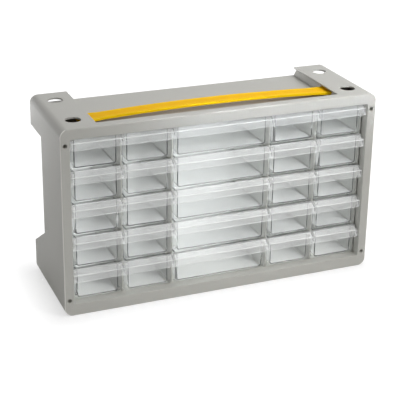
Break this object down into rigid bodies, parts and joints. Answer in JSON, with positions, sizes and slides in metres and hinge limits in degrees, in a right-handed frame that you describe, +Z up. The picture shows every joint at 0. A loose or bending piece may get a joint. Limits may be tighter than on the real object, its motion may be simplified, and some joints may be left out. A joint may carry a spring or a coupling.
{
  "type": "parts bin cabinet",
  "caption": "Portable small-parts cabinet: grey plastic frame with ears and feet, clear pull-out drawers in small and double widths, and a yellow carrying strap across the top.",
  "frame": {"origin": "middle of the footprint, on the surface the cabinet stands on", "axes": "+X to the right seen from the drawer fronts, +Y from the drawer fronts to the back, +Z up"},
  "size_m": [0.49, 0.165, 0.285],
  "materials": {
    "grey_plastic": "fine satin",
    "clear_plastic": "clear, polished",
    "yellow_plastic": "satin",
    "screw_steel": "plated"
  },
  "bodies": {
    "cabinet": {"front_frame": "grey_plastic", "drawer_housing": "grey_plastic", "back_panel": "grey_plastic", "partition_1": "grey_plastic", "partition_2": "grey_plastic", "partition_3": "grey_plastic", "partition_4": "grey_plastic", "corner_screws": "screw_steel"},
    "drawer_c1_r1": {"drawer_c1_r1": "clear_plastic"},
    "drawer_c1_r2": {"drawer_c1_r2": "clear_plastic"},
    "drawer_c1_r3": {"drawer_c1_r3": "clear_plastic"},
    "drawer_c1_r4": {"drawer_c1_r4": "clear_plastic"},
    "drawer_c1_r5": {"drawer_c1_r5": "clear_plastic"},
    "drawer_c2_r1": {"drawer_c2_r1": "clear_plastic"},
    "drawer_c2_r2": {"drawer_c2_r2": "clear_plastic"},
    "drawer_c2_r3": {"drawer_c2_r3": "clear_plastic"},
    "drawer_c2_r4": {"drawer_c2_r4": "clear_plastic"},
    "drawer_c2_r5": {"drawer_c2_r5": "clear_plastic"},
    "drawer_c3_r1": {"drawer_c3_r1": "clear_plastic"},
    "drawer_c3_r2": {"drawer_c3_r2": "clear_plastic"},
    "drawer_c3_r3": {"drawer_c3_r3": "clear_plastic"},
    "drawer_c3_r4": {"drawer_c3_r4": "clear_plastic"},
    "drawer_c3_r5": {"drawer_c3_r5": "clear_plastic"},
    "drawer_c4_r1": {"drawer_c4_r1": "clear_plastic"},
    "drawer_c4_r2": {"drawer_c4_r2": "clear_plastic"},
    "drawer_c4_r3": {"drawer_c4_r3": "clear_plastic"},
    "drawer_c4_r4": {"drawer_c4_r4": "clear_plastic"},
    "drawer_c4_r5": {"drawer_c4_r5": "clear_plastic"},
    "drawer_c5_r1": {"drawer_c5_r1": "clear_plastic"},
    "drawer_c5_r2": {"drawer_c5_r2": "clear_plastic"},
    "drawer_c5_r3": {"drawer_c5_r3": "clear_plastic"},
    "drawer_c5_r4": {"drawer_c5_r4": "clear_plastic"},
    "drawer_c5_r5": {"drawer_c5_r5": "clear_plastic"},
    "handle": {"carrying_strap": "yellow_plastic"}
  },
  "joints": [
    {"name": "drawer_c1_r1_slide", "type": "slide", "parent": "cabinet", "child": "drawer_c1_r1", "axis": [0, -1, 0], "range_m": [0, 0.115]},
    {"name": "drawer_c1_r2_slide", "type": "slide", "parent": "cabinet", "child": "drawer_c1_r2", "axis": [0, -1, 0], "range_m": [0, 0.115]},
    {"name": "drawer_c1_r3_slide", "type": "slide", "parent": "cabinet", "child": "drawer_c1_r3", "axis": [0, -1, 0], "range_m": [0, 0.115]},
    {"name": "drawer_c1_r4_slide", "type": "slide", "parent": "cabinet", "child": "drawer_c1_r4", "axis": [0, -1, 0], "range_m": [0, 0.115]},
    {"name": "drawer_c1_r5_slide", "type": "slide", "parent": "cabinet", "child": "drawer_c1_r5", "axis": [0, -1, 0], "range_m": [0, 0.115]},
    {"name": "drawer_c2_r1_slide", "type": "slide", "parent": "cabinet", "child": "drawer_c2_r1", "axis": [0, -1, 0], "range_m": [0, 0.115]},
    {"name": "drawer_c2_r2_slide", "type": "slide", "parent": "cabinet", "child": "drawer_c2_r2", "axis": [0, -1, 0], "range_m": [0, 0.115]},
    {"name": "drawer_c2_r3_slide", "type": "slide", "parent": "cabinet", "child": "drawer_c2_r3", "axis": [0, -1, 0], "range_m": [0, 0.115]},
    {"name": "drawer_c2_r4_slide", "type": "slide", "parent": "cabinet", "child": "drawer_c2_r4", "axis": [0, -1, 0], "range_m": [0, 0.115]},
    {"name": "drawer_c2_r5_slide", "type": "slide", "parent": "cabinet", "child": "drawer_c2_r5", "axis": [0, -1, 0], "range_m": [0, 0.115]},
    {"name": "drawer_c3_r1_slide", "type": "slide", "parent": "cabinet", "child": "drawer_c3_r1", "axis": [0, -1, 0], "range_m": [0, 0.115]},
    {"name": "drawer_c3_r2_slide", "type": "slide", "parent": "cabinet", "child": "drawer_c3_r2", "axis": [0, -1, 0], "range_m": [0, 0.115]},
    {"name": "drawer_c3_r3_slide", "type": "slide", "parent": "cabinet", "child": "drawer_c3_r3", "axis": [0, -1, 0], "range_m": [0, 0.115]},
    {"name": "drawer_c3_r4_slide", "type": "slide", "parent": "cabinet", "child": "drawer_c3_r4", "axis": [0, -1, 0], "range_m": [0, 0.115]},
    {"name": "drawer_c3_r5_slide", "type": "slide", "parent": "cabinet", "child": "drawer_c3_r5", "axis": [0, -1, 0], "range_m": [0, 0.115]},
    {"name": "drawer_c4_r1_slide", "type": "slide", "parent": "cabinet", "child": "drawer_c4_r1", "axis": [0, -1, 0], "range_m": [0, 0.115]},
    {"name": "drawer_c4_r2_slide", "type": "slide", "parent": "cabinet", "child": "drawer_c4_r2", "axis": [0, -1, 0], "range_m": [0, 0.115]},
    {"name": "drawer_c4_r3_slide", "type": "slide", "parent": "cabinet", "child": "drawer_c4_r3", "axis": [0, -1, 0], "range_m": [0, 0.115]},
    {"name": "drawer_c4_r4_slide", "type": "slide", "parent": "cabinet", "child": "drawer_c4_r4", "axis": [0, -1, 0], "range_m": [0, 0.115]},
    {"name": "drawer_c4_r5_slide", "type": "slide", "parent": "cabinet", "child": "drawer_c4_r5", "axis": [0, -1, 0], "range_m": [0, 0.115]},
    {"name": "drawer_c5_r1_slide", "type": "slide", "parent": "cabinet", "child": "drawer_c5_r1", "axis": [0, -1, 0], "range_m": [0, 0.115]},
    {"name": "drawer_c5_r2_slide", "type": "slide", "parent": "cabinet", "child": "drawer_c5_r2", "axis": [0, -1, 0], "range_m": [0, 0.115]},
    {"name": "drawer_c5_r3_slide", "type": "slide", "parent": "cabinet", "child": "drawer_c5_r3", "axis": [0, -1, 0], "range_m": [0, 0.115]},
    {"name": "drawer_c5_r4_slide", "type": "slide", "parent": "cabinet", "child": "drawer_c5_r4", "axis": [0, -1, 0], "range_m": [0, 0.115]},
    {"name": "drawer_c5_r5_slide", "type": "slide", "parent": "cabinet", "child": "drawer_c5_r5", "axis": [0, -1, 0], "range_m": [0, 0.115]},
    {"name": "strap_lift", "type": "slide", "parent": "cabinet", "child": "handle", "axis": [0, 0, 1], "range_m": [0, 0.0025]}
  ]
}
